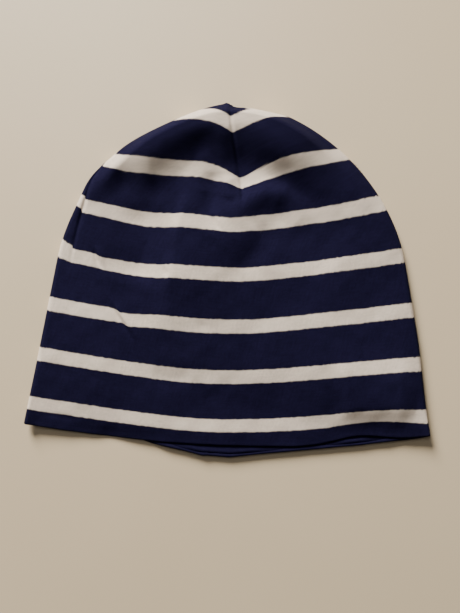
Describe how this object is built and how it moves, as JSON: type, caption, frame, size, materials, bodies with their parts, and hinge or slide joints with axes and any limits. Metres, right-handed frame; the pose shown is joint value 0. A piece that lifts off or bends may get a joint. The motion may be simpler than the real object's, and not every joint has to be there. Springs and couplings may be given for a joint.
{
  "type": "beanie",
  "caption": "Double-layer jersey beanie with even light stripes on a dark ground, crown darts and an open hem, lying flat on its back.",
  "frame": {"origin": "centre of the flat hat's outline, on the surface it lies on", "axes": "+Y towards the crown tip, -Y out of the open hem, +Z out of the hat's front, +X to the right as seen from the front"},
  "size_m": [0.235, 0.2025, 0.014],
  "materials": {
    "striped_jersey": "matt single-jersey knit, navy with off-white stripes",
    "sewing_thread": "matt spun polyester overlock thread",
    "label_ribbon": "satin ribbon, blank"
  },
  "bodies": {
    "root": {"outer_shell": "striped_jersey", "lining": "striped_jersey", "care_label": "label_ribbon", "shell_front_dart_stitching": "sewing_thread", "shell_left_dart_stitching": "sewing_thread", "shell_right_dart_stitching": "sewing_thread", "shell_back_seam_stitching": "sewing_thread", "lining_front_dart_stitching": "sewing_thread", "lining_left_dart_stitching": "sewing_thread", "lining_right_dart_stitching": "sewing_thread", "lining_back_seam_stitching": "sewing_thread", "hem_stitching": "sewing_thread", "crown_tack": "sewing_thread"}
  },
  "joints": []
}
